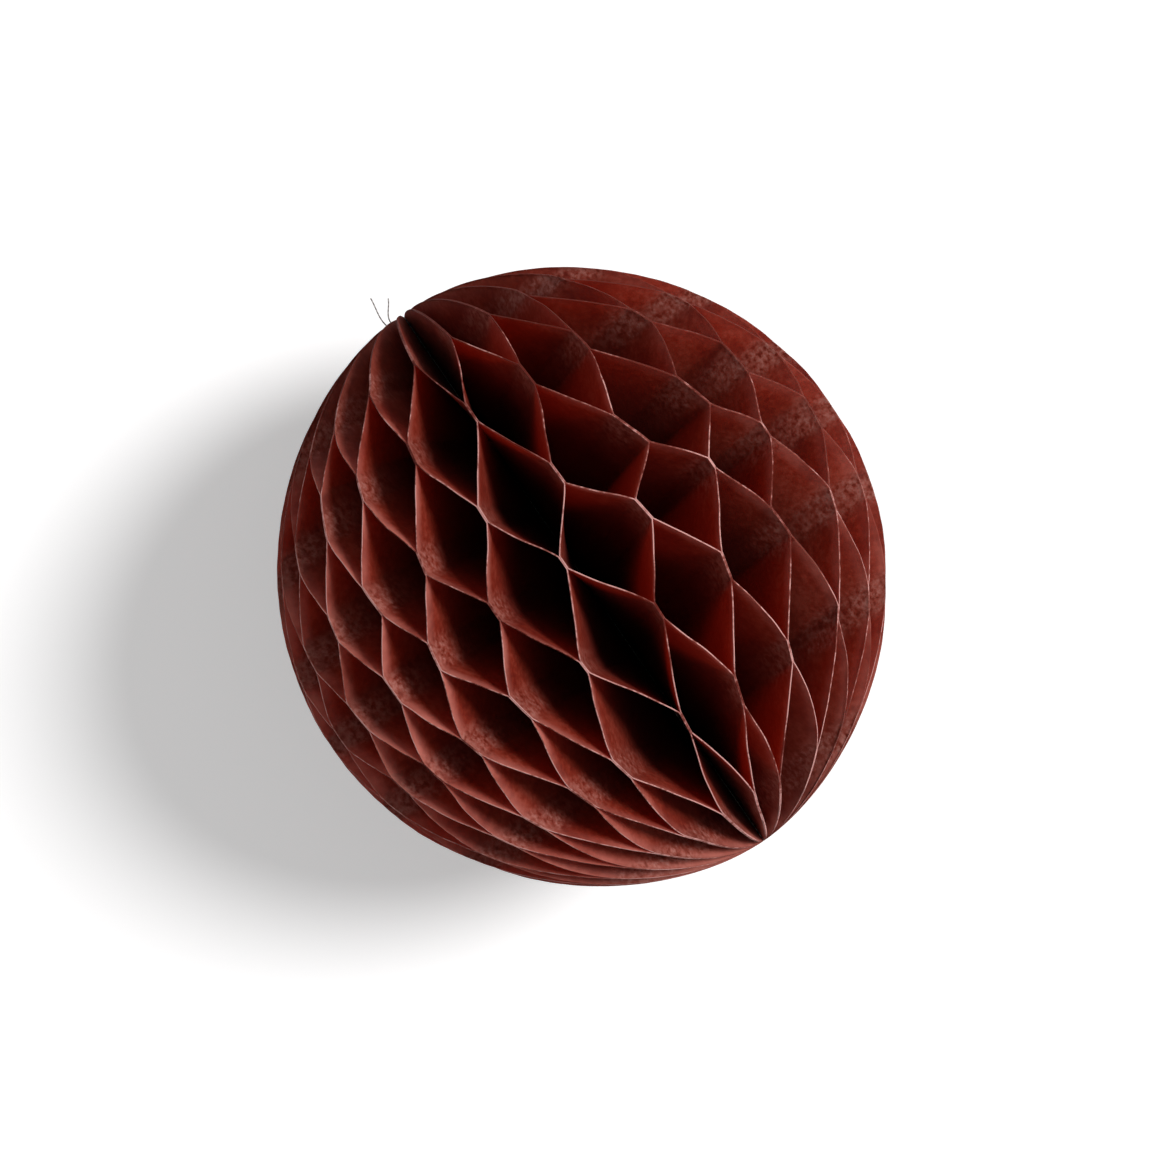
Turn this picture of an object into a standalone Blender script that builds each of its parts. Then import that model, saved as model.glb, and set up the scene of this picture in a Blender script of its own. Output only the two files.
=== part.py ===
"""Honeycomb tissue ball: half-round leaves bound along one straight spine and opened like a fan.

Each leaf is glued to its neighbours along level bands, to the one on its left at one level
and to the one on its right at the next, so that the open ball is a honeycomb of tall cells.
Metres, +Z up along the spine. The origin is the middle of the spine, and -Y is the front.
"""

import math

import bmesh
import bpy

MM = 0.001

# Overall size of the open ball
BALL_RADIUS = 49.6 * MM
SPINE_HALF_LENGTH = 52.4 * MM
OUTLINE_POWER = 0.55

# The fan of leaves: where its first glue plane stands, how far the planes are drawn together
# on one side, and how far round from the first plane the leaves are widest apart
LEAF_COUNT = 50
FRONT_JOINT_ANGLE = math.radians(-90.8)
CROWDING_ANGLE = math.radians(8.3)
WIDEST_ANGLE = math.radians(88.0)

# Tissue: thicker than real tissue, so that each leaf is a solid
LEAF_THICKNESS_AT_RIM = 0.20 * MM
LEAF_THICKNESS_AT_SPINE = 0.03 * MM

# Glue bands, level with each other all round the ball
BAND_COUNT = 7
BAND_PITCH = 14.1 * MM
BAND_HEIGHT = 3.8 * MM
MIDDLE_BAND_Z = -2.1 * MM
GLUE_CLEARANCE_AT_RIM = 0.30 * MM
GLUE_CLEARANCE_AT_SPINE = 0.03 * MM

# Spine: the leaves' straight edges, stitched together round a thread
SPINE_RADIUS = 0.7 * MM
SPINE_CLEARANCE = 0.3 * MM
SPINE_END_TAPER = 1.2 * MM
SPINE_END_RADIUS = 0.3 * MM
SPINE_SIDES = 12

# How finely the free end of a leaf, past its last band, follows the round outline
POLE_STEPS = 5
TIP_WIDTH = 0.6 * MM

# Angle from one leaf to the next where the fan is even
LEAF_ANGLE = math.tau / LEAF_COUNT
# A leaf's straight edge stands clear of the spine
LEAF_INNER_RADIUS = SPINE_RADIUS + SPINE_CLEARANCE
# The leaf ends where its outline has come in to this radius
LEAF_TIP_RADIUS = LEAF_INNER_RADIUS + TIP_WIDTH
# Where a row of a leaf stands, from the glue plane on its left to the one on its right
LEFT = -1.0
MIDDLE = 0.0
RIGHT = 1.0


def tissue_material(name, shade):
    """Brick-red tissue, a little lighter or darker from leaf to leaf."""
    material = bpy.data.materials.new(name)
    material.use_nodes = True
    shader = material.node_tree.nodes["Principled BSDF"]
    shader.inputs["Base Color"].default_value = (0.19 * shade, 0.028 * shade, 0.018 * shade, 1.0)
    shader.inputs["Roughness"].default_value = 0.75
    shader.inputs["Metallic"].default_value = 0.0
    return material


def thread_material(name):
    """Dull grey cotton thread."""
    material = bpy.data.materials.new(name)
    material.use_nodes = True
    shader = material.node_tree.nodes["Principled BSDF"]
    shader.inputs["Base Color"].default_value = (0.20, 0.17, 0.16, 1.0)
    shader.inputs["Roughness"].default_value = 0.9
    shader.inputs["Metallic"].default_value = 0.0
    return material


def glue_plane_turn(plane):
    """Turn about the spine of the plane between two leaves; the fan is crowded on one side."""
    even = plane * LEAF_ANGLE
    sway = math.sin(even - WIDEST_ANGLE) + math.sin(WIDEST_ANGLE)
    return FRONT_JOINT_ANGLE + even + CROWDING_ANGLE * sway


def outline_radius(z):
    """Distance from the spine to the round edge of a leaf at one height."""
    inside = max(0.0, 1.0 - (z / SPINE_HALF_LENGTH) ** 2)
    return BALL_RADIUS * inside**OUTLINE_POWER


def tip_height():
    """Height at which the outline has come in to the leaf's narrow tip."""
    share = (LEAF_TIP_RADIUS / BALL_RADIUS) ** (1.0 / OUTLINE_POWER)
    return SPINE_HALF_LENGTH * math.sqrt(1.0 - share)


def between(at_spine, at_rim, radius):
    """A size that grows evenly from the leaf's straight edge to its round one."""
    share = (radius - LEAF_INNER_RADIUS) / (BALL_RADIUS - LEAF_INNER_RADIUS)
    return at_spine + (at_rim - at_spine) * share


def pole_heights(band_edge, tip):
    """Heights from the last band to the tip, closer together where the outline turns in."""
    start = math.asin(band_edge / tip)
    step = (math.pi / 2 - start) / POLE_STEPS
    return [tip * math.sin(start + step * n) for n in range(1, POLE_STEPS + 1)]


def leaf_rows(leaf):
    """(height, side) of each level row of a leaf, from its lower tip to its upper one.

    The side is LEFT where the leaf is glued to the one before it, RIGHT where it is glued to
    the one after it, and between them where it is free. Past its last band at either pole a
    leaf stays beside the one that it is glued to there.
    """
    tip = tip_height()
    lowest_z = MIDDLE_BAND_Z - BAND_PITCH * (BAND_COUNT - 1) / 2
    rows = []
    for band in range(BAND_COUNT):
        z = lowest_z + BAND_PITCH * band
        side = RIGHT if (leaf + band) % 2 == 0 else LEFT
        if band > 0:
            rows.append((z - BAND_PITCH / 2, MIDDLE))
        rows.append((z - BAND_HEIGHT / 2, side))
        rows.append((z + BAND_HEIGHT / 2, side))
    low_z, low_side = rows[0]
    high_z, high_side = rows[-1]
    below = [(-z, low_side) for z in pole_heights(-low_z, tip)]
    above = [(z, high_side) for z in pole_heights(high_z, tip)]
    return below[::-1] + rows + above


def leaf_points(leaf, z, side, radius):
    """The two faces of a leaf at one height and one distance from the spine."""
    thickness = between(LEAF_THICKNESS_AT_SPINE, LEAF_THICKNESS_AT_RIM, radius)
    clearance = between(GLUE_CLEARANCE_AT_SPINE, GLUE_CLEARANCE_AT_RIM, radius)
    stand_off = math.asin((thickness + clearance) / 2 / radius)
    left_turn = glue_plane_turn(leaf) + stand_off
    right_turn = glue_plane_turn(leaf + 1) - stand_off
    turn = left_turn + (right_turn - left_turn) * (side - LEFT) / (RIGHT - LEFT)
    across = (-math.sin(turn), math.cos(turn))
    points = []
    for half in (-thickness / 2, thickness / 2):
        x = radius * math.cos(turn) + across[0] * half
        y = radius * math.sin(turn) + across[1] * half
        points.append((x, y, z))
    return points


def add_leaf_faces(shell, near, far):
    """Closes the strip of leaf between two rows: both faces, the straight edge and the rim.

    Each row is four corners: inner left, inner right, rim left, rim right.
    """
    inner_left, inner_right, rim_left, rim_right = range(4)
    for a, b, turned in (
        (inner_left, rim_left, False),
        (inner_right, rim_right, True),
        (rim_left, rim_right, False),
        (inner_left, inner_right, True),
    ):
        lower = (near[a], near[b], far[b])
        upper = (near[a], far[b], far[a])
        for corners in (lower, upper):
            shell.faces.new(corners[::-1] if turned else corners)


def leaf_mesh(leaf):
    """One leaf of tissue as a closed thin shell."""
    shell = bmesh.new()
    rows = []
    for z, side in leaf_rows(leaf):
        rim = max(outline_radius(z), LEAF_TIP_RADIUS)
        corners = leaf_points(leaf, z, side, LEAF_INNER_RADIUS) + leaf_points(leaf, z, side, rim)
        rows.append([shell.verts.new(point) for point in corners])
    for near, far in zip(rows, rows[1:]):
        add_leaf_faces(shell, near, far)
    for row in (rows[0], rows[-1]):
        inner_left, inner_right, rim_left, rim_right = row
        shell.faces.new((inner_left, inner_right, rim_right, rim_left))
    bmesh.ops.recalc_face_normals(shell, faces=shell.faces)
    mesh = bpy.data.meshes.new(f"leaf_{leaf + 1:02d}")
    shell.to_mesh(mesh)
    shell.free()
    return mesh


def spine_mesh():
    """The bound spine as a slim turned rod that narrows to the thread at both poles."""
    shoulder = SPINE_HALF_LENGTH - SPINE_END_TAPER
    profile = [
        (-SPINE_HALF_LENGTH, SPINE_END_RADIUS),
        (-shoulder, SPINE_RADIUS),
        (shoulder, SPINE_RADIUS),
        (SPINE_HALF_LENGTH, SPINE_END_RADIUS),
    ]
    shell = bmesh.new()
    rings = []
    for z, radius in profile:
        turns = [math.tau * n / SPINE_SIDES for n in range(SPINE_SIDES)]
        ring = [shell.verts.new((radius * math.cos(t), radius * math.sin(t), z)) for t in turns]
        rings.append(ring)
    for low, high in zip(rings, rings[1:]):
        for n in range(SPINE_SIDES):
            after = (n + 1) % SPINE_SIDES
            shell.faces.new((low[n], low[after], high[after], high[n]))
    shell.faces.new(rings[0][::-1])
    shell.faces.new(rings[-1])
    mesh = bpy.data.meshes.new("spine_binding")
    shell.to_mesh(mesh)
    shell.free()
    return mesh


def place(name, mesh, material):
    """Puts a finished mesh in the scene as one named piece."""
    mesh.materials.append(material)
    mesh.shade_smooth()
    mesh.set_sharp_from_angle(angle=math.radians(20.0))
    piece = bpy.data.objects.new(name, mesh)
    bpy.context.scene.collection.objects.link(piece)
    return piece


def clear_scene():
    """Empties the scene before the ball is made."""
    for old in list(bpy.data.objects):
        bpy.data.objects.remove(old, do_unlink=True)


def build():
    """Makes the spine and every leaf of the fan."""
    clear_scene()
    place("spine_binding", spine_mesh(), thread_material("binding_thread"))
    for leaf in range(LEAF_COUNT):
        name = f"leaf_{leaf + 1:02d}"
        shade = 1.0 + 0.12 * math.sin(2.4 * leaf)
        place(name, leaf_mesh(leaf), tissue_material(f"{name}_tissue", shade))


build()
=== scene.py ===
"""Looks of a honeycomb tissue ball: dyed tissue leaves, glue bands, stitched spine and thread ends.

Metres, +Z along the spine. Each leaf is one piece that stands for the solid of its own number.
"""
import logging
import math
from collections.abc import Sequence
from dataclasses import dataclass
from enum import Enum
from typing import Any

import bpy
import numpy as np
from mathutils import Matrix, Vector


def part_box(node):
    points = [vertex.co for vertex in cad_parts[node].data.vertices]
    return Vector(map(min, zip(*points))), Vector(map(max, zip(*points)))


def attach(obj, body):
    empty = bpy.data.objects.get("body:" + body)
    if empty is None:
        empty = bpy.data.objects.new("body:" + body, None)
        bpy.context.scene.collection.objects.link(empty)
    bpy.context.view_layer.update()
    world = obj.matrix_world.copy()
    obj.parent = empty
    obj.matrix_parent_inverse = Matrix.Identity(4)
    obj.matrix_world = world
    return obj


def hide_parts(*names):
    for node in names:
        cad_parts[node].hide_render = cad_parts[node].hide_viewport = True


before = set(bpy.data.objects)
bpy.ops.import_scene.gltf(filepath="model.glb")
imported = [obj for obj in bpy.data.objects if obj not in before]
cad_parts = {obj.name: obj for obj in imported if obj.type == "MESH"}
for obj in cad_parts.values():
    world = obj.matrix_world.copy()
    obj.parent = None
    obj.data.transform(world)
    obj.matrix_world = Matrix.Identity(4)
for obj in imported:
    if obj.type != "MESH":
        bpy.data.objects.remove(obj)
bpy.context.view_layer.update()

MM = 0.001
BODY = "root"
LOG = logging.getLogger("tissue_ball")

Colour = tuple[float, float, float, float]
Stops = tuple[tuple[float, str], ...]
Tree = bpy.types.NodeTree
Socket = bpy.types.NodeSocket

# Settings that more than one node has
MULTIPLY = {"operation": "MULTIPLY"}
SMOOTH = {"interpolation_type": "SMOOTHSTEP"}
# A mix node takes its share as input 0, values as inputs 2 and 3, and colours as inputs 6 and 7
MIX_VALUES = {"data_type": "FLOAT"}
MIX_COLOURS = {"data_type": "RGBA"}
# How long one of the wave node's diagonal waves is where its scale is 1
DIAGONAL_WAVE = math.tau / 10


class Side(Enum):
    """Which neighbour a leaf is glued to at one band."""

    LEFT = 0
    RIGHT = 1


class LeafFace(Enum):
    """The two finishes of a leaf, as its material slots."""

    SHEET = 0
    CUT_EDGE = 1


def linear(hex_colour: str) -> Colour:
    """Turns an sRGB hex colour to linear light, with the numbers of the sRGB curve.

    Args:
        hex_colour: six hex digits after a hash sign.

    Returns:
        Red, green, blue and an alpha of 1.
    """
    parts = [int(hex_colour[i : i + 2], 16) / 255.0 for i in (1, 3, 5)]
    red, green, blue = (c / 12.92 if c <= 0.04045 else ((c + 0.055) / 1.055) ** 2.4 for c in parts)
    return (red, green, blue, 1.0)


def set_stops(ramp: bpy.types.ColorRamp, stops: Stops) -> None:
    """Gives a new colour ramp its stops.

    Args:
        ramp: the ramp.
        stops: each value with its hex colour, from the lowest up.
    """
    ramp.elements.remove(ramp.elements[1])
    ramp.elements[0].position = stops[0][0]
    ramp.elements[0].color = linear(stops[0][1])
    for position, colour in stops[1:]:
        ramp.elements.new(position).color = linear(colour)


def add_node(
    tree: Tree, kind: str, settings: dict[str, Any], inputs: dict[str | int, Any]
) -> bpy.types.Node:
    """Adds one node with its settings, values and links.

    Args:
        tree: the node tree that it joins.
        kind: the node's type name.
        settings: attributes of the node, or the stops of a colour ramp.
        inputs: for each input, by name or number, a value or the output that feeds it.

    Returns:
        The new node.
    """
    node = tree.nodes.new(kind)
    for name, value in settings.items():
        if name == "stops":
            set_stops(node.color_ramp, value)
        else:
            setattr(node, name, value)
    for key, value in inputs.items():
        if isinstance(value, Socket):
            tree.links.new(value, node.inputs[key])
        else:
            node.inputs[key].default_value = value
    return node


def new_tree(name: str) -> tuple[bpy.types.Material, Tree]:
    """Makes a material with an empty node tree.

    Args:
        name: the material's name.

    Returns:
        The material and its tree.
    """
    material = bpy.data.materials.new(name)
    material.use_nodes = True
    material.node_tree.nodes.clear()
    return material, material.node_tree


def add_mesh(name: str, points: np.ndarray, faces: Sequence[Sequence[int]]) -> bpy.types.Object:
    """Puts a mesh in the scene, shaded smooth.

    Args:
        name: the object's name.
        points: its vertices, one row each.
        faces: vertex numbers of each face.

    Returns:
        The new object.
    """
    mesh = bpy.data.meshes.new(name)
    mesh.from_pydata(points.tolist(), [], [list(face) for face in faces])
    mesh.shade_smooth()
    piece = bpy.data.objects.new(name, mesh)
    bpy.context.scene.collection.objects.link(piece)
    return piece


@dataclass(frozen=True)
class Grain:
    """An uneven pattern: the real size of its blots, and how much finer noise breaks them up."""

    blot: float
    octaves: float
    roughness: float = 0.6

    def inputs(self, place: Socket) -> dict[str | int, Any]:
        """Inputs of a noise node that draws the pattern at the given places, in metres."""
        return {
            "Vector": place,
            "Scale": 1.0 / self.blot,
            "Detail": self.octaves,
            "Roughness": self.roughness,
        }


@dataclass(frozen=True)
class Spread:
    """How a reading turns into a strength: from least at the low reading to most at the high one."""

    low: float = 0.0
    high: float = 1.0
    least: float = 0.0
    most: float = 1.0

    def inputs(self, reading: Socket) -> dict[str | int, Any]:
        """Inputs of a range node that turns the reading."""
        return {0: reading, 1: self.low, 2: self.high, 3: self.least, 4: self.most}


@dataclass(frozen=True)
class Ball:
    """The open ball's outline: half its length along the spine, and its radius round it.

    The power is a half for an oval. A little more than that makes the poles slimmer.
    """

    half_length: float
    radius: float = 49.6 * MM
    power: float = 0.55

    def width(self, z: np.ndarray) -> np.ndarray:
        """Distance from the spine to the outline at each height."""
        return self.radius * np.clip(1.0 - (z / self.half_length) ** 2, 0.0, 1.0) ** self.power


@dataclass(frozen=True)
class GlueBands:
    """Level glue bands, the same on every leaf, with the small rise or drop of each."""

    pitch: float = 14.1 * MM
    height: float = 3.8 * MM
    middle_z: float = -2.1 * MM
    rises: tuple[float, ...] = (-1.2 * MM, 0.3 * MM, 1.6 * MM, 0.9 * MM, -1.0 * MM, -0.2 * MM, -0.3 * MM)

    @property
    def count(self) -> int:
        """Number of bands."""
        return len(self.rises)

    def level(self, band: int) -> float:
        """Height of a band's middle."""
        return self.middle_z + self.pitch * (band - (self.count - 1) / 2) + self.rises[band]


@dataclass(frozen=True)
class Fan:
    """How the leaves stand round the spine, a little crowded on one side."""

    leaves: int = 50
    front_turn: float = math.radians(-90.8)
    crowding: float = math.radians(8.3)
    widest_turn: float = math.radians(88.0)

    def plane_turn(self, plane: int) -> float:
        """Turn of the plane between two leaves, the one of its own number and the one before."""
        even = plane * math.tau / self.leaves
        sway = math.sin(even - self.widest_turn) + math.sin(self.widest_turn)
        return self.front_turn + even + self.crowding * sway


@dataclass(frozen=True)
class Slack:
    """How one glued joint departs from an even ball, in degrees and millimetres.

    The turn is round the spine, the rise along it. The height is added to the joint's own, and
    the lean is how much further its top is turned than its foot.
    """

    turn: float = 0.0
    rise: float = 0.0
    height: float = 0.0
    lean: float = 0.0


# Joints in view that stand clearly off an even ball, by glue plane and band
SEEN_JOINTS = {
    (-1, 0): Slack(turn=1.1, height=-1.5),
    (1, 0): Slack(height=-1.5, lean=0.8),
    (-3, 0): Slack(rise=0.6, height=-1.5, lean=-1.2),
    (3, 0): Slack(turn=-3.4, rise=-0.3, height=-1.8),
    (5, 0): Slack(turn=0.4, height=-1.5),
    (0, 1): Slack(turn=1.2, height=-0.4, lean=0.5),
    (-2, 1): Slack(turn=-1.7, rise=-0.3),
    (2, 1): Slack(rise=-0.5, height=0.6, lean=0.8),
    (-4, 1): Slack(turn=0.3, rise=-0.4, height=0.8),
    (4, 1): Slack(turn=-0.3, height=-0.7),
    (-6, 1): Slack(turn=-0.6, rise=0.5),
    (6, 1): Slack(turn=0.9, rise=0.8, height=-2.0, lean=0.9),
    (-8, 1): Slack(turn=0.3, rise=0.9, height=-0.5),
    (-1, 2): Slack(turn=-0.9, rise=-0.6, height=-1.8),
    (1, 2): Slack(turn=1.1, height=-1.1),
    (-3, 2): Slack(turn=-0.9, height=0.8, lean=-0.4),
    (3, 2): Slack(turn=1.1, height=0.4, lean=0.7),
    (-5, 2): Slack(turn=-0.9, rise=-0.5, lean=-0.6),
    (5, 2): Slack(turn=0.4, rise=1.3, height=1.1, lean=-1.6),
    (7, 2): Slack(turn=0.8, lean=0.5),
    (-9, 2): Slack(turn=0.8, rise=1.6),
    (0, 3): Slack(turn=-0.6, height=-1.6),
    (-2, 3): Slack(turn=-0.8, height=-0.6),
    (2, 3): Slack(turn=1.1, lean=-0.6),
    (-4, 3): Slack(turn=-1.2, height=0.7, lean=1.0),
    (4, 3): Slack(turn=1.3, rise=0.4, height=-1.9),
    (-6, 3): Slack(height=1.1),
    (6, 3): Slack(turn=0.5, rise=0.7, height=-1.3),
    (-8, 3): Slack(rise=0.3, height=2.0, lean=-1.0),
    (8, 3): Slack(turn=1.8, height=1.9, lean=1.2),
    (-1, 4): Slack(turn=-0.3, rise=0.5, height=-0.9),
    (1, 4): Slack(rise=-0.8),
    (-3, 4): Slack(turn=-0.5, lean=0.5),
    (3, 4): Slack(turn=0.5, rise=-1.1, height=2.6, lean=-2.1),
    (-5, 4): Slack(rise=0.3, height=1.7, lean=-1.4),
    (5, 4): Slack(turn=0.4, rise=-0.8, height=2.5, lean=-1.5),
    (-7, 4): Slack(turn=0.4, rise=1.2, height=0.8),
    (7, 4): Slack(rise=0.9, height=2.6, lean=1.4),
    (-9, 4): Slack(rise=0.3, height=0.9, lean=-1.3),
    (0, 5): Slack(turn=1.0, rise=-0.2),
    (-2, 5): Slack(turn=0.5),
    (2, 5): Slack(height=0.5, lean=0.6),
    (-4, 5): Slack(rise=0.9, height=0.6),
    (4, 5): Slack(turn=-1.0, rise=0.3, height=0.5, lean=1.1),
    (-6, 5): Slack(turn=0.6, rise=1.2, height=3.2),
    (6, 5): Slack(turn=-0.3, rise=-0.6),
    (-8, 5): Slack(rise=-0.6, height=0.9, lean=-1.0),
    (-1, 6): Slack(turn=3.0, height=-0.9),
    (1, 6): Slack(turn=0.9, rise=0.5, height=-0.7),
    (-3, 6): Slack(turn=1.5, height=-2.2, lean=0.7),
    (3, 6): Slack(turn=-1.4, rise=-0.4, height=-2.2),
    (5, 6): Slack(turn=-3.6, rise=-0.4, height=-1.4, lean=1.3),
    (7, 6): Slack(turn=-4.2, rise=-0.6, height=-1.4, lean=1.8),
}


@dataclass(frozen=True)
class Strip:
    """A leaf's glued strip at one band: its ends along the spine, their turns, and the side glued."""

    low: float
    high: float
    low_turn: float
    high_turn: float
    side: Side

    @property
    def stand(self) -> float:
        """Which way the leaf stands off the glue plane: 1 from the left one, -1 from the right one."""
        return 1.0 if self.side is Side.LEFT else -1.0


@dataclass
class Honeycomb:
    """Every glued joint of the ball, with the unevenness of opening it by hand."""

    fan: Fan = Fan()
    bands: GlueBands = GlueBands()
    first_seen: int = -11
    last_seen: int = 10
    hidden_slack: Slack = Slack(turn=0.9, rise=0.6, height=0.9, lean=0.6)
    most_drawn: float = 1.8
    seed: int = 20

    def __post_init__(self) -> None:
        """Draws the slack of the joints out of view once, so that both leaves of each share it."""
        draw = np.random.RandomState(self.seed)
        slacks = draw.normal(size=(self.fan.leaves, self.bands.count, 4))
        self.drawn = np.clip(slacks, -self.most_drawn, self.most_drawn)

    def slack(self, plane: int, band: int) -> Slack:
        """How a joint departs from an even ball.

        Args:
            plane: number of the glue plane.
            band: number of the band.

        Returns:
            Its slack.
        """
        half = self.fan.leaves // 2
        near = (plane + half) % self.fan.leaves - half
        if self.first_seen <= near <= self.last_seen:
            return SEEN_JOINTS.get((near, band), Slack())
        turn, rise, height, lean = self.drawn[plane % self.fan.leaves, band]
        most = self.hidden_slack
        return Slack(turn * most.turn, rise * most.rise, height * most.height, lean * most.lean)

    def strip(self, leaf: int, band: int) -> Strip:
        """The glued strip of a leaf at one band.

        Args:
            leaf: number of the leaf.
            band: number of the band.

        Returns:
            The strip.
        """
        side = Side.RIGHT if (leaf + band) % 2 == 0 else Side.LEFT
        plane = leaf + side.value
        slack = self.slack(plane, band)
        middle = self.bands.level(band) + slack.rise * MM
        half = (self.bands.height + slack.height * MM) / 2
        turn = self.fan.plane_turn(plane) + math.radians(slack.turn)
        lean = math.radians(slack.lean) / 2
        return Strip(middle - half, middle + half, turn - lean, turn + lean, side)


@dataclass(frozen=True)
class PaintedLightSide:
    """Which side of the ball the lamp catches: a share by which the paper's edges are painted paler there
    (painted highlight) and darker on the far side (painted shade).

    The change runs from low to high, measured from the ball's middle toward the lit side.
    """

    # Direction toward the side that the lamp catches, where the edges get painted highlight
    toward: tuple[float, float, float] = (-0.6, -0.5, -0.62)
    low: float = -22.32 * MM
    high: float = 17.36 * MM

    def share(self, tree: Tree, place: Socket, least: float, most: float) -> Socket:
        """A value that grows from the side in shade to the side that the lamp catches, for painted light.

        Args:
            tree: the node tree.
            place: the coordinates.
            least: the value on the side in shade.
            most: the value on the lit side.

        Returns:
            The value.
        """
        along = {"operation": "DOT_PRODUCT"}
        side = add_node(tree, "ShaderNodeVectorMath", along, {0: place, 1: self.toward}).outputs["Value"]
        spread = Spread(self.low, self.high, least, most)
        return add_node(tree, "ShaderNodeMapRange", {}, spread.inputs(side)).outputs[0]


@dataclass(frozen=True)
class TissuePaper:
    """Dyed tissue paper, thin enough to glow a little where light is behind it.

    The eye sees a matt brick red, fine crepe, and paler mottled bands where glue has soaked through
    from the far side. Toward the spine the colour is darkened with painted shade, and along the rim it
    is paled with a painted highlight, strongest on the side that the lamp catches. Held against light
    it turns orange.
    Real fibres and crepe are too fine to show, so both are drawn as coarse as they need to be.
    """

    ball: Ball
    bands: GlueBands
    # Side that the lamp catches, for the painted highlight along the rim
    painted_light_side: PaintedLightSide = PaintedLightSide()
    name: str = "dyed_tissue_paper"
    dye: Stops = ((0.38, "#832416"), (0.5, "#a03823"), (0.62, "#bb5440"))
    dried_glue: Stops = ((0.36, "#84301f"), (0.45, "#bd6352"), (0.62, "#e8a294"))
    # Pale pink of the painted highlight along the rim, where the lamp catches the leaves' margins
    painted_highlight: str = "#f49c8c"
    # Colour of the painted shade that darkens the paper toward the spine
    painted_shade: str = "#6a2015"
    glow: str = "#cf5630"
    sheen_tint: str = "#f0b8ae"
    roughness: float = 0.62
    glue_roughness: float = 0.45
    refraction: float = 1.45
    sheen: float = 0.03
    sheen_roughness: float = 0.4
    through: float = 0.5
    cloud: Grain = Grain(9.0 * MM, 3.0)
    fibre: Grain = Grain(0.8 * MM, 4.0)
    fibre_share: float = 0.5
    crepe: Grain = Grain(0.55 * MM, 5.0)
    crepe_depth: float = 0.05 * MM
    crepe_strength: float = 0.8
    mottle: Grain = Grain(1.3 * MM, 4.0)
    mottle_depth: float = 0.12 * MM
    # How far in from the rim the painted highlight reaches, its share on the side in shade, and its
    # patches
    painted_highlight_reach: float = 2.8 * MM
    painted_highlight_least: float = 0.15
    painted_highlight_patches: Spread = Spread(0.36, 0.64, 0.3, 1.0)
    glue_reach: float = 2.3 * MM
    glue_edge: float = 0.9 * MM
    glue_wander: float = 1.6 * MM
    glue_patches: Spread = Spread(0.36, 0.62, 0.3, 1.0)
    glue_depth: float = 9.0 * MM
    glue_deep: float = 0.2
    # Where the painted shade toward the spine starts, and where it is full
    painted_shade_start: float = 1.5 * MM
    painted_shade_full: float = 18.0 * MM

    def make(self) -> bpy.types.Material:
        """Builds the material."""
        material, tree = new_tree(self.name)
        place = add_node(tree, "ShaderNodeTexCoord", {}, {}).outputs["Object"]
        mottle = add_node(tree, "ShaderNodeTexNoise", {}, self.mottle.inputs(place)).outputs[0]
        reach = self.reach(tree, place)
        glued = self.glue_mask(tree, place, reach, mottle)
        colour = self.colour(tree, place, reach, glued)
        normal = self.relief(tree, place, mottle, glued)
        polish = Spread(least=self.roughness, most=self.glue_roughness)
        finish = {
            "Base Color": colour,
            "Roughness": add_node(tree, "ShaderNodeMapRange", {}, polish.inputs(glued)).outputs[0],
            "Normal": normal,
            "IOR": self.refraction,
            "Sheen Weight": self.sheen,
            "Sheen Roughness": self.sheen_roughness,
            "Sheen Tint": linear(self.sheen_tint),
        }
        face = add_node(tree, "ShaderNodeBsdfPrincipled", {}, finish).outputs[0]
        lit_through = {"Color": linear(self.glow), "Normal": normal}
        glow = add_node(tree, "ShaderNodeBsdfTranslucent", {}, lit_through).outputs[0]
        both = add_node(tree, "ShaderNodeMixShader", {}, {0: self.through, 1: face, 2: glow}).outputs[0]
        add_node(tree, "ShaderNodeOutputMaterial", {}, {"Surface": both})
        return material

    def colour(self, tree: Tree, place: Socket, reach: Socket, glued: Socket) -> Socket:
        """The dye: clouds and fibres, paler under glue, a painted highlight by the edge, and painted shade
        toward the spine.

        Args:
            tree: the node tree.
            place: the coordinates.
            reach: how far out a point is.
            glued: how much glue shows.

        Returns:
            The colour.
        """
        radius = self.ball.radius
        cloud = add_node(tree, "ShaderNodeTexNoise", {}, self.cloud.inputs(place)).outputs[0]
        fibre = add_node(tree, "ShaderNodeTexNoise", {}, self.fibre.inputs(place)).outputs[0]
        blend = {0: self.fibre_share, 2: cloud, 3: fibre}
        tone = add_node(tree, "ShaderNodeMix", MIX_VALUES, blend).outputs[0]
        dye = add_node(tree, "ShaderNodeValToRGB", {"stops": self.dye}, {0: tone}).outputs[0]
        # Painted highlight: paler pink along the rim, strongest on the side that the lamp catches
        near_edge = Spread(radius - self.painted_highlight_reach, radius)
        painted_rim_highlight = add_node(tree, "ShaderNodeMapRange", SMOOTH, near_edge.inputs(reach)).outputs[0]
        patchy = add_node(tree, "ShaderNodeMapRange", {}, self.painted_highlight_patches.inputs(cloud)).outputs[0]
        for share in (patchy, self.painted_light_side.share(tree, place, self.painted_highlight_least, 1.0)):
            painted_rim_highlight = add_node(tree, "ShaderNodeMath", MULTIPLY, {0: painted_rim_highlight, 1: share}).outputs[0]
        painted_highlighting = {0: painted_rim_highlight, 6: dye, 7: linear(self.painted_highlight)}
        painted_light = add_node(tree, "ShaderNodeMix", MIX_COLOURS, painted_highlighting).outputs[2]
        dried = add_node(tree, "ShaderNodeValToRGB", {"stops": self.dried_glue}, {0: fibre}).outputs[0]
        gluing = {0: glued, 6: painted_light, 7: dried}
        outer = add_node(tree, "ShaderNodeMix", MIX_COLOURS, gluing).outputs[2]
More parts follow.
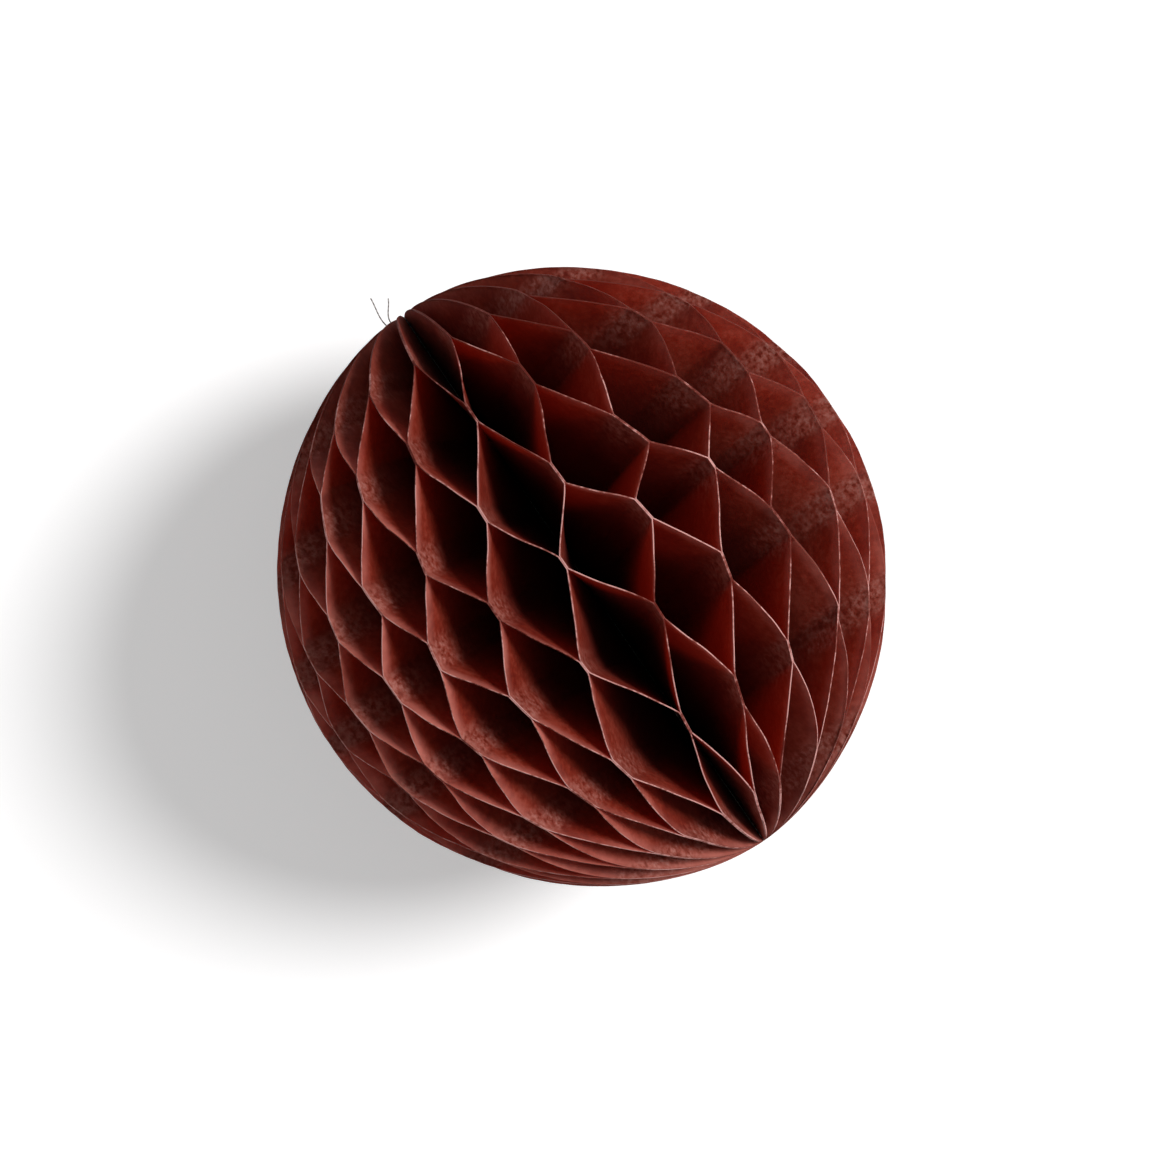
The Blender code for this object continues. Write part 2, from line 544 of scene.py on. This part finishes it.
        # Painted shade: the colour darkens toward the spine, where the cells' insides lie in shadow
        inward = Spread(radius - self.painted_shade_full, radius - self.painted_shade_start, 1.0, 0.0)
        depth = add_node(tree, "ShaderNodeMapRange", SMOOTH, inward.inputs(reach)).outputs[0]
        painted_shading = {0: depth, 6: outer, 7: linear(self.painted_shade)}
        return add_node(tree, "ShaderNodeMix", MIX_COLOURS, painted_shading).outputs[2]

    def reach(self, tree: Tree, place: Socket) -> Socket:
        """How far out from the ball's middle a point is, as in a ball whose poles are drawn in.

        Args:
            tree: the node tree.
            place: the coordinates.

        Returns:
            The distance, in metres.
        """
        squeeze = (1.0, 1.0, self.ball.radius / self.ball.half_length)
        even = add_node(tree, "ShaderNodeVectorMath", MULTIPLY, {0: place, 1: squeeze}).outputs[0]
        return add_node(tree, "ShaderNodeVectorMath", {"operation": "LENGTH"}, {0: even}).outputs["Value"]

    def glue_stripes(self) -> Stops:
        """The bands as white stripes on black, from 0 at the lower pole to 1 at the upper one."""
        bare, full = "#000000", "#ffffff"
        stops = [(0.0, bare)]
        for band in range(self.bands.count):
            for away, grey in ((-1, bare), (-1, full), (1, full), (1, bare)):
                half = self.glue_reach + (self.glue_edge if grey == bare else -self.glue_edge)
                height = self.bands.level(band) + away * half
                stops.append((height / (2 * self.ball.half_length) + 0.5, grey))
        return tuple(stops)

    def glue_mask(self, tree: Tree, place: Socket, reach: Socket, mottle: Socket) -> Socket:
        """How much glue shows: level bands with ragged, patchy edges, fainter toward the spine.

        Args:
            tree: the node tree.
            place: the coordinates.
            reach: how far out a point is.
            mottle: noise that breaks the glue up.

        Returns:
            0 for plain tissue, up to 1 for full glue.
        """
        height = add_node(tree, "ShaderNodeSeparateXYZ", {}, {0: place}).outputs["Z"]
        sway = Spread(least=-self.glue_wander / 2, most=self.glue_wander / 2)
        wander = add_node(tree, "ShaderNodeMapRange", {}, sway.inputs(mottle)).outputs[0]
        ragged = add_node(tree, "ShaderNodeMath", {"operation": "ADD"}, {0: height, 1: wander}).outputs[0]
        pole_to_pole = Spread(-self.ball.half_length, self.ball.half_length)
        along = add_node(tree, "ShaderNodeMapRange", {}, pole_to_pole.inputs(ragged)).outputs[0]
        glued = add_node(tree, "ShaderNodeValToRGB", {"stops": self.glue_stripes()}, {0: along}).outputs[0]
        outward = Spread(self.ball.radius - self.glue_depth, self.ball.radius, self.glue_deep)
        patchy = add_node(tree, "ShaderNodeMapRange", {}, self.glue_patches.inputs(mottle)).outputs[0]
        fading = add_node(tree, "ShaderNodeMapRange", {}, outward.inputs(reach)).outputs[0]
        for share in (patchy, fading):
            glued = add_node(tree, "ShaderNodeMath", MULTIPLY, {0: glued, 1: share}).outputs[0]
        return glued

    def relief(self, tree: Tree, place: Socket, mottle: Socket, glued: Socket) -> Socket:
        """Fine crepe all over, and puckers where the glue has dried.

        Args:
            tree: the node tree.
            place: the coordinates.
            mottle: noise that breaks the glue up.
            glued: how much glue shows.

        Returns:
            The bumped normal.
        """
        crepe = add_node(tree, "ShaderNodeTexNoise", {}, self.crepe.inputs(place)).outputs[0]
        creases = {"Height": crepe, "Distance": self.crepe_depth, "Strength": self.crepe_strength}
        fine = add_node(tree, "ShaderNodeBump", {}, creases).outputs[0]
        puckers = {"Height": mottle, "Distance": self.mottle_depth, "Strength": glued, "Normal": fine}
        return add_node(tree, "ShaderNodeBump", {}, puckers).outputs[0]


@dataclass(frozen=True)
class CutTissueEdge:
    """The die-cut edge of tissue, where cut fibres stand out and catch the light.

    The eye sees a thin pinkish line, uneven in strength. It is painted paler on the side of the ball
    that the lamp catches (painted highlight) and darker on the other side (painted shade), where it is
    hardly different from the sheet.
    """

    # Side that the lamp catches, for the edge's painted highlight and painted shade
    painted_light_side: PaintedLightSide = PaintedLightSide()
    name: str = "cut_tissue_edge"
    line: Stops = ((0.43, "#64231a"), (0.5, "#94534b"), (0.58, "#d69d97"))
    roughness: float = 0.85
    shine: float = 0.2
    fray: Grain = Grain(0.9 * MM, 4.0)
    stretch: Grain = Grain(11.0 * MM, 2.0)
    stretch_share: float = 0.6
    # Tone shift of the edge on the side in shade (painted shade) and on the lit side (painted highlight)
    painted_shade_tone: float = -0.14
    painted_highlight: float = 0.05

    def make(self) -> bpy.types.Material:
        """Builds the material."""
        material, tree = new_tree(self.name)
        place = add_node(tree, "ShaderNodeTexCoord", {}, {}).outputs["Object"]
        fray = add_node(tree, "ShaderNodeTexNoise", {}, self.fray.inputs(place)).outputs[0]
        stretch = add_node(tree, "ShaderNodeTexNoise", {}, self.stretch.inputs(place)).outputs[0]
        blend = {0: self.stretch_share, 2: fray, 3: stretch}
        uneven = add_node(tree, "ShaderNodeMix", MIX_VALUES, blend).outputs[0]
        # Painted light: the edge line is paler on the side the lamp catches and darker on the far side
        painted_light = self.painted_light_side.share(tree, place, self.painted_shade_tone, self.painted_highlight)
        tone = add_node(tree, "ShaderNodeMath", {"operation": "ADD"}, {0: uneven, 1: painted_light}).outputs[0]
        colour = add_node(tree, "ShaderNodeValToRGB", {"stops": self.line}, {0: tone}).outputs[0]
        finish = {"Base Color": colour, "Roughness": self.roughness, "Specular IOR Level": self.shine}
        face = add_node(tree, "ShaderNodeBsdfPrincipled", {}, finish).outputs[0]
        add_node(tree, "ShaderNodeOutputMaterial", {}, {"Surface": face})
        return material


@dataclass(frozen=True)
class CottonThread:
    """Spun cotton thread: matt grey, with the slant of its twist as fine darker lines."""

    name: str = "spun_cotton_thread"
    dark: str = "#7d7774"
    light: str = "#b3adaa"
    roughness: float = 0.9
    lay: float = 0.987 * MM
    lay_wander: float = 1.5

    def make(self) -> bpy.types.Material:
        """Builds the material."""
        material, tree = new_tree(self.name)
        place = add_node(tree, "ShaderNodeTexCoord", {}, {}).outputs["Object"]
        slant = {"bands_direction": "DIAGONAL"}
        lines = {"Vector": place, "Scale": DIAGONAL_WAVE / self.lay, "Distortion": self.lay_wander}
        twist = add_node(tree, "ShaderNodeTexWave", slant, lines).outputs[1]
        fibres = {0: twist, 6: linear(self.dark), 7: linear(self.light)}
        colour = add_node(tree, "ShaderNodeMix", MIX_COLOURS, fibres).outputs[2]
        finish = {"Base Color": colour, "Roughness": self.roughness}
        face = add_node(tree, "ShaderNodeBsdfPrincipled", {}, finish).outputs[0]
        add_node(tree, "ShaderNodeOutputMaterial", {}, {"Surface": face})
        return material


@dataclass
class Leaf:
    """One half-round leaf of tissue, swung from neighbour to neighbour between the bands."""

    number: int
    honeycomb: Honeycomb
    ball: Ball
    inner_radius: float = 0.7 * MM
    tip_radius: float = 0.9 * MM
    rows: int = 220
    row_gap: float = 0.3 * MM
    outline_steps: int = 4001
    columns: int = 14
    column_power: float = 2.2
    sheet: float = 0.05 * MM
    edge_bead: float = 0.14 * MM
    bead_reach: float = 0.3 * MM
    narrowing_radius: float = 8.0 * MM
    narrowest: float = 0.35
    glue_film: float = 0.01 * MM
    softness: float = 0.12
    sag: float = 0.3 * MM
    sag_waves: tuple[float, ...] = (11 * MM, 23 * MM)
    curl: float = 0.15 * MM
    curl_waves: tuple[float, ...] = (6 * MM, 17 * MM, 29 * MM)
    curl_reach: float = 1.6 * MM
    edge_wander: float = 0.08 * MM
    edge_waves: tuple[float, ...] = (3.1 * MM, 7.7 * MM, 19 * MM)
    weakest_wave: float = 0.4
    first_seed: int = 1000

    @property
    def name(self) -> str:
        """The leaf's name."""
        return f"tissue_leaf_{self.number + 1:02d}"

    @property
    def node(self) -> str:
        """The solid that the leaf stands for."""
        return f"leaf_{self.number + 1:02d}"

    def outline(self, z: np.ndarray) -> np.ndarray:
        """Distance from the spine to the round edge at each height."""
        return np.maximum(self.ball.width(z), self.tip_radius)

    def heights(self, knots: np.ndarray) -> np.ndarray:
        """Heights of the rows: evenly spaced along the round edge, and one at each strip's end.

        Args:
            knots: heights of the strips' ends.

        Returns:
            The heights, from the lower tip to the upper one.
        """
        share = (self.tip_radius / self.ball.radius) ** (1.0 / self.ball.power)
        tip = self.ball.half_length * math.sqrt(1.0 - share)
        fine = tip * np.sin(np.linspace(-math.pi / 2, math.pi / 2, self.outline_steps))
        length = np.concatenate([[0.0], np.cumsum(np.hypot(np.diff(fine), np.diff(self.outline(fine))))])
        even = np.interp(np.linspace(0.0, length[-1], self.rows), length, fine)
        clear = np.abs(even[:, None] - knots[None, :]).min(axis=1) > self.row_gap
        clear[[0, -1]] = True
        return np.sort(np.concatenate([even[clear], knots]))

    def swing(self, strips: Sequence[Strip], z: np.ndarray) -> tuple[np.ndarray, np.ndarray, np.ndarray]:
        """The leaf's turn at each height, and how it stands off the glue planes.

        Past its last strip at either pole the leaf stays beside the one that it is glued to there.

        Args:
            strips: the leaf's glued strips, from the lowest up.
            z: heights of the rows.

        Returns:
            The turn before standing off, the side stood off to from -1 to 1, and how free
            the leaf is, 1 midway between two strips and 0 in a strip and past the last one.
        """
        knots = [float(z[0])]
        turns = [strips[0].low_turn]
        stands = [strips[0].stand]
        for strip in strips:
            knots += [strip.low, strip.high]
            turns += [strip.low_turn, strip.high_turn]
            stands += [strip.stand, strip.stand]
        knots.append(float(z[-1]))
        turns.append(strips[-1].high_turn)
        stands.append(strips[-1].stand)
        part = np.clip(np.searchsorted(knots, z, side="right") - 1, 0, len(knots) - 2)
        start, end = np.take(knots, part), np.take(knots, part + 1)
        share = np.clip((z - start) / (end - start), 0.0, 1.0)
        between = (part % 2 == 0) & (part > 0) & (part < len(knots) - 2)
        free = np.where(between, np.sin(math.pi * share), 0.0)
        share += (share * share * (3 - 2 * share) - share) * self.softness
        turn = np.take(turns, part) * (1 - share) + np.take(turns, part + 1) * share
        stand = np.take(stands, part) * (1 - share) + np.take(stands, part + 1) * share
        return turn, stand, free

    def ripple(self, z: np.ndarray, draw: np.random.RandomState, waves: Sequence[float]) -> np.ndarray:
        """A smooth random line along the leaf.

        Args:
            z: heights of the rows.
            draw: the leaf's own random numbers.
            waves: lengths of the waves that it is made of.

        Returns:
            A value from about -1 to 1 for each row.
        """
        line = np.zeros_like(z)
        for wave in waves:
            strength = draw.uniform(self.weakest_wave, 1.0)
            line += strength * np.sin(math.tau * z / wave + draw.uniform(0, math.tau))
        return line / len(waves)

    def middle_surface(self) -> tuple[np.ndarray, np.ndarray]:
        """The middle surface of the leaf and its thickness.

        Returns:
            Points by row and column, the first column at the round edge, and thicknesses.
        """
        draw = np.random.RandomState(self.first_seed + self.number)
        strips = [self.honeycomb.strip(self.number, band) for band in range(self.honeycomb.bands.count)]
        z = self.heights(np.array([end for strip in strips for end in (strip.low, strip.high)]))
        turn, stand, free = self.swing(strips, z)
        rim = self.outline(z) + self.edge_wander * self.ripple(z, draw, self.edge_waves)
        inward = np.linspace(0.0, 1.0, self.columns) ** self.column_power
        depth = (rim - self.inner_radius)[:, None] * inward[None, :]
        radius = rim[:, None] - depth
        bead = self.edge_bead * np.exp(-((depth / self.bead_reach) ** 2))
        thickness = (self.sheet + bead) * np.clip(radius / self.narrowing_radius, self.narrowest, 1.0)
        room = (thickness / 2 + self.glue_film) * stand[:, None]
        sag = self.sag * (free * self.ripple(z, draw, self.sag_waves))[:, None]
        curl = self.curl * (free * self.ripple(z, draw, self.curl_waves))[:, None]
        across = room + sag * (radius / self.ball.radius) ** 2 + curl * np.exp(-depth / self.curl_reach)
        cosine, sine = np.cos(turn)[:, None], np.sin(turn)[:, None]
        x = radius * cosine - across * sine
        y = radius * sine + across * cosine
        return np.stack([x, y, np.broadcast_to(z[:, None], x.shape)], axis=-1), thickness

    def build(self) -> bpy.types.Object:
        """Makes the leaf as a closed thin sheet with a slightly thickened cut edge.

        Returns:
            The leaf's object.
        """
        middle, thickness = self.middle_surface()
        normal = np.cross(np.gradient(middle, axis=1), np.gradient(middle, axis=0))
        normal /= np.linalg.norm(normal, axis=-1, keepdims=True)
        half = normal * thickness[..., None] / 2
        rows, columns = thickness.shape
        points = np.concatenate([(middle + half).reshape(-1, 3), (middle - half).reshape(-1, 3)])
        front = np.arange(rows * columns).reshape(rows, columns)
        back = front + rows * columns
        near, far = front[:-1], front[1:]
        sheet = np.stack([near[:, :-1], near[:, 1:], far[:, 1:], far[:, :-1]], axis=-1).reshape(-1, 4)
        rim = np.stack([front[:-1, 0], front[1:, 0], back[1:, 0], back[:-1, 0]], axis=-1)
        straight = np.stack([front[1:, -1], front[:-1, -1], back[:-1, -1], back[1:, -1]], axis=-1)
        lower = np.stack([front[0, 1:], front[0, :-1], back[0, :-1], back[0, 1:]], axis=-1)
        upper = np.stack([front[-1, :-1], front[-1, 1:], back[-1, 1:], back[-1, :-1]], axis=-1)
        faces = np.concatenate([sheet, sheet[:, ::-1] + rows * columns, rim, straight, lower, upper])
        piece = add_mesh(self.name, points, faces)
        finish = np.full(len(faces), LeafFace.SHEET.value, np.int32)
        finish[2 * len(sheet) : 2 * len(sheet) + len(rim)] = LeafFace.CUT_EDGE.value
        piece.data.polygons.foreach_set("material_index", finish)
        return piece

    def dress(self, piece: bpy.types.Object, sheet: bpy.types.Material, edge: bpy.types.Material) -> None:
        """Gives the leaf its finishes and its place in the frame.

        Args:
            piece: the leaf's object.
            sheet: finish of the tissue.
            edge: finish of the cut edge.
        """
        piece.data.materials.append(sheet)
        piece.data.materials.append(edge)
        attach(piece, BODY)
        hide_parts(self.node)


@dataclass
class SpineBinding:
    """The leaves' stitched straight edges: three plies of thread twisted tightly along the axis."""

    half_length: float
    node: str = "spine_binding"
    plies: int = 3
    ply_radius: float = 0.34 * MM
    lay_radius: float = 0.34 * MM
    end_radius: float = 0.31 * MM
    taper: float = 0.2 * MM
    twist: float = 3.2 * MM
    steps: int = 360
    sides: int = 8

    def ply(self, number: int) -> tuple[np.ndarray, list[tuple[int, ...]]]:
        """One ply as a closed tube round the axis.

        Args:
            number: which ply.

        Returns:
            Its points and faces.
        """
        z = np.linspace(-self.half_length, self.half_length, self.steps)
        narrow = np.clip((self.half_length - np.abs(z)) / self.taper, 0.0, 1.0)
        lay = self.end_radius + (self.lay_radius - self.end_radius) * narrow
        thick = self.end_radius + (self.ply_radius - self.end_radius) * narrow
        turn = math.tau * z / self.twist + math.tau * number / self.plies
        outward = np.stack([np.cos(turn), np.sin(turn), np.zeros_like(z)], axis=-1)[:, None, :]
        beside = np.stack([-np.sin(turn), np.cos(turn), np.zeros_like(z)], axis=-1)[:, None, :]
        ring = (np.arange(self.sides) * math.tau / self.sides)[None, :, None]
        round_it = np.cos(ring) * outward + np.sin(ring) * beside
        points = lay[:, None, None] * outward + thick[:, None, None] * round_it
        points[:, :, 2] += z[:, None]
        faces: list[tuple[int, ...]] = []
        for step in range(self.steps - 1):
            for side in range(self.sides):
                after = (side + 1) % self.sides
                low, high = step * self.sides, (step + 1) * self.sides
                faces.append((low + side, low + after, high + after, high + side))
        faces.append(tuple(range(self.sides))[::-1])
        faces.append(tuple(range((self.steps - 1) * self.sides, self.steps * self.sides)))
        return points.reshape(-1, 3), faces

    def build(self) -> bpy.types.Object:
        """Makes the twisted binding as one piece.

        Returns:
            The binding's object.
        """
        points, faces = [], []
        for number in range(self.plies):
            start = sum(len(more) for more in points)
            ply_points, ply_faces = self.ply(number)
            points.append(ply_points)
            faces += [tuple(start + corner for corner in face) for face in ply_faces]
        return add_mesh("stitched_spine", np.concatenate(points), faces)

    def dress(self, piece: bpy.types.Object, thread: bpy.types.Material) -> None:
        """Gives the binding its finish and its place in the frame.

        Args:
            piece: the binding's object.
            thread: finish of the thread.
        """
        piece.data.materials.append(thread)
        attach(piece, BODY)
        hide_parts(self.node)


@dataclass
class ThreadEnd:
    """A short cut end of the tied thread that stands out beside the upper pole.

    Its route is how far to the side and how far above the pole it passes, in millimetres.
    """

    name: str
    pole: float
    route: tuple[tuple[float, float], ...]
    radius: float = 0.12 * MM
    roundness: int = 3

    def build(self) -> bpy.types.Object:
        """Makes the thread end as a thin bent curve.

        Returns:
            The thread's object.
        """
        curve = bpy.data.curves.new(self.name, "CURVE")
        curve.dimensions = "3D"
        curve.bevel_depth = self.radius
        curve.bevel_resolution = self.roundness
        curve.use_fill_caps = True
        spline = curve.splines.new("BEZIER")
        spline.bezier_points.add(len(self.route) - 1)
        for point, (beside, above) in zip(spline.bezier_points, self.route):
            point.co = (beside * MM, 0.0, self.pole + above * MM)
            point.handle_left_type = "AUTO"
            point.handle_right_type = "AUTO"
        piece = bpy.data.objects.new(self.name, curve)
        bpy.context.scene.collection.objects.link(piece)
        return piece

    def dress(self, piece: bpy.types.Object, thread: bpy.types.Material) -> None:
        """Gives the thread end its finish and its place in the frame.

        Args:
            piece: the thread's object.
            thread: finish of the thread.
        """
        piece.data.materials.append(thread)
        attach(piece, BODY)


# Both thread ends by name, each with its route
THREAD_ROUTES = {
    "thread_end_long": ((-0.7, -1.6), (-2.4, -0.9), (-3.2, 0.6), (-2.8, 6.0)),
    "thread_end_short": ((-0.7, -1.4), (-2.3, 0.3), (-0.4, 4.3)),
}


@dataclass
class Camera:
    """The photograph's view: from just below the middle of the ball, rolled to one side."""

    distance: float = 400.0 * MM
    lens: float = 75.4
    clip_start: float = 10.0 * MM
    elevation: float = math.radians(-5.0)
    roll: float = math.radians(-34.5)
    aim_right: float = -0.36 * MM
    aim_up: float = -0.6 * MM

    def axes(self) -> Matrix:
        """The camera's right, up and backward directions.

        Returns:
            A matrix that has them as its columns.
        """
        back = Vector((0.0, -math.cos(self.elevation), math.sin(self.elevation)))
        level = (-back).to_track_quat("-Z", "Y").to_matrix()
        return level @ Matrix.Rotation(self.roll, 3, "Z")

    def build(self) -> bpy.types.Object:
        """Makes the camera and looks through it.

        Returns:
            The camera's object.
        """
        lens = bpy.data.cameras.new("camera")
        lens.lens = self.lens
        lens.clip_start = self.clip_start
        camera = bpy.data.objects.new("camera", lens)
        axes = self.axes()
        right, up, back = axes.col
        place = back * self.distance + right * self.aim_right + up * self.aim_up
        camera.matrix_world = Matrix.Translation(place) @ axes.to_4x4()
        bpy.context.scene.collection.objects.link(camera)
        bpy.context.scene.camera = camera
        return camera


@dataclass
class Studio:
    """A white ground close behind the ball, one soft lamp from the right, and pale fill.

    The ground shows a little light of its own to the camera, which keeps the shadow pale.
    """

    camera: Camera
    ground_back: float = 50.6 * MM
    ground_half: float = 900.0 * MM
    ground_white: str = "#f6f5f5"
    ground_glow: float = 0.315
    lamp_distance: float = 2.2
    lamp_width: float = 0.70
    lamp_watts: float = 42.0
    lamp_slant: float = math.radians(38.0)
    lamp_turn: float = math.radians(20.0)
    fill: float = 0.27
    sky: str = "#ffffff"

    def build(self) -> None:
        """Makes the ground, the lamp and the fill light."""
        self.build_ground()
        self.build_lamp()
        self.build_world()

    def build_ground(self) -> None:
        """Makes the ground square to the view, and seen only from the front."""
        right, up, back = self.camera.axes().col
        centre = -back * self.ground_back
        corners = [
            centre + right * (across * self.ground_half) + up * (along * self.ground_half)
            for across, along in ((-1, -1), (1, -1), (1, 1), (-1, 1))
        ]
        ground = add_mesh("ground", np.array([list(corner) for corner in corners]), [(0, 1, 2, 3)])
        material, tree = new_tree("matt_white_card")
        card = add_node(tree, "ShaderNodeBsdfDiffuse", {}, {"Color": linear(self.ground_white)}).outputs[0]
        seen = add_node(tree, "ShaderNodeLightPath", {}, {}).outputs["Is Camera Ray"]
        glow = add_node(tree, "ShaderNodeMath", MULTIPLY, {0: seen, 1: self.ground_glow}).outputs[0]
        light = add_node(tree, "ShaderNodeEmission", {}, {"Strength": glow}).outputs[0]
        white = add_node(tree, "ShaderNodeAddShader", {}, {0: card, 1: light}).outputs[0]
        clear = add_node(tree, "ShaderNodeBsdfTransparent", {}, {}).outputs[0]
        behind = add_node(tree, "ShaderNodeNewGeometry", {}, {}).outputs["Backfacing"]
        shown = add_node(tree, "ShaderNodeMixShader", {}, {0: behind, 1: white, 2: clear}).outputs[0]
        add_node(tree, "ShaderNodeOutputMaterial", {}, {"Surface": shown})
        ground.data.materials.append(material)

    def build_lamp(self) -> None:
        """Makes the soft lamp, aimed at the ball."""
        right, up, back = self.camera.axes().col
        sideways = right * math.cos(self.lamp_turn) + up * math.sin(self.lamp_turn)
        towards = back * math.cos(self.lamp_slant) + sideways * math.sin(self.lamp_slant)
        light = bpy.data.lights.new("soft_lamp", "AREA")
        light.shape = "DISK"
        light.size = self.lamp_width
        light.energy = self.lamp_watts
        lamp = bpy.data.objects.new("soft_lamp", light)
        lamp.location = towards * self.lamp_distance
        lamp.rotation_euler = towards.to_track_quat("Z", "Y").to_euler()
        bpy.context.scene.collection.objects.link(lamp)

    def build_world(self) -> None:
        """Lights the scene evenly, and shows plain white where nothing stands."""
        world = bpy.data.worlds.new("pale_room")
        bpy.context.scene.world = world
        world.use_nodes = True
        tree = world.node_tree
        tree.nodes.clear()
        seen = add_node(tree, "ShaderNodeLightPath", {}, {}).outputs["Is Camera Ray"]
        shown = Spread(least=self.fill)
        strength = add_node(tree, "ShaderNodeMapRange", {}, shown.inputs(seen)).outputs[0]
        air = {"Color": linear(self.sky), "Strength": strength}
        sky = add_node(tree, "ShaderNodeBackground", {}, air).outputs[0]
        add_node(tree, "ShaderNodeOutputWorld", {}, {"Surface": sky})


def main() -> None:
    """Builds the ball, then the studio round it."""
    logging.basicConfig(level=logging.INFO, format="%(name)s: %(message)s")
    bpy.context.scene.view_settings.view_transform = "Standard"
    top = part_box("spine_binding")[1].z
    ball = Ball(half_length=top)
    honeycomb = Honeycomb()
    tissue = TissuePaper(ball, honeycomb.bands).make()
    edge = CutTissueEdge().make()
    thread = CottonThread().make()
    for number in range(honeycomb.fan.leaves):
        leaf = Leaf(number, honeycomb, ball)
        piece = leaf.build()
        leaf.dress(piece, tissue, edge)
        LOG.info("%s: %d faces", piece.name, len(piece.data.polygons))
    spine = SpineBinding(half_length=top)
    binding = spine.build()
    spine.dress(binding, thread)
    LOG.info("%s: %d faces", binding.name, len(binding.data.polygons))
    for name, route in THREAD_ROUTES.items():
        end = ThreadEnd(name, top, route)
        piece = end.build()
        end.dress(piece, thread)
        LOG.info("%s: thread of %d points", piece.name, len(route))
    camera = Camera()
    camera.build()
    Studio(camera).build()


if __name__ == "__main__":
    main()
